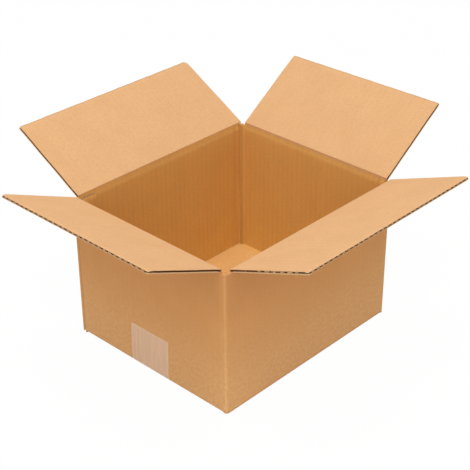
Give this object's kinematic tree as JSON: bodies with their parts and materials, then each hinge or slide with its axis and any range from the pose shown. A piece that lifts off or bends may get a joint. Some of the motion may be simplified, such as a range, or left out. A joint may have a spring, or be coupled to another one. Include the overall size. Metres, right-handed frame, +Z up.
{
  "type": "open cardboard box",
  "caption": "Open corrugated shipping box: four walls and a taped bottom folded from one blank, with top flaps folded outwards that turn on their score lines.",
  "frame": {"origin": "middle of the underside, on the surface that the box stands on, at the middle of the folded box's length and width", "axes": "+X along the long walls, +Y along the short walls, +Z up"},
  "size_m": [0.3917, 0.3646, 0.2071],
  "materials": {
    "kraft_board": "matt uncoated kraft liner",
    "packing_tape": "translucent film, slightly hazy"
  },
  "bodies": {
    "box": {"box_body": "kraft_board", "bottom_tape": "packing_tape"},
    "long_flap_front": {"long_flap_front": "kraft_board"},
    "short_flap_right": {"short_flap_right": "kraft_board"},
    "long_flap_back": {"long_flap_back": "kraft_board"},
    "short_flap_left": {"short_flap_left": "kraft_board"}
  },
  "joints": [
    {"name": "long_flap_front_fold", "type": "hinge", "parent": "box", "child": "long_flap_front", "pos_m": [0, -0.09915, 0.1542], "axis": [1, 0, 0], "range_deg": [-157.5, 112.5]},
    {"name": "short_flap_right_fold", "type": "hinge", "parent": "box", "child": "short_flap_right", "pos_m": [0.11565, 0, 0.1509], "axis": [0, 1, 0], "range_deg": [-144.8, 125.2]},
    {"name": "long_flap_back_fold", "type": "hinge", "parent": "box", "child": "long_flap_back", "pos_m": [0, 0.09915, 0.1542], "axis": [-1, 0, 0], "range_deg": [-150, 120]},
    {"name": "short_flap_left_fold", "type": "hinge", "parent": "box", "child": "short_flap_left", "pos_m": [-0.11565, 0, 0.1509], "axis": [0, -1, 0], "range_deg": [-155.4, 114.6]}
  ]
}
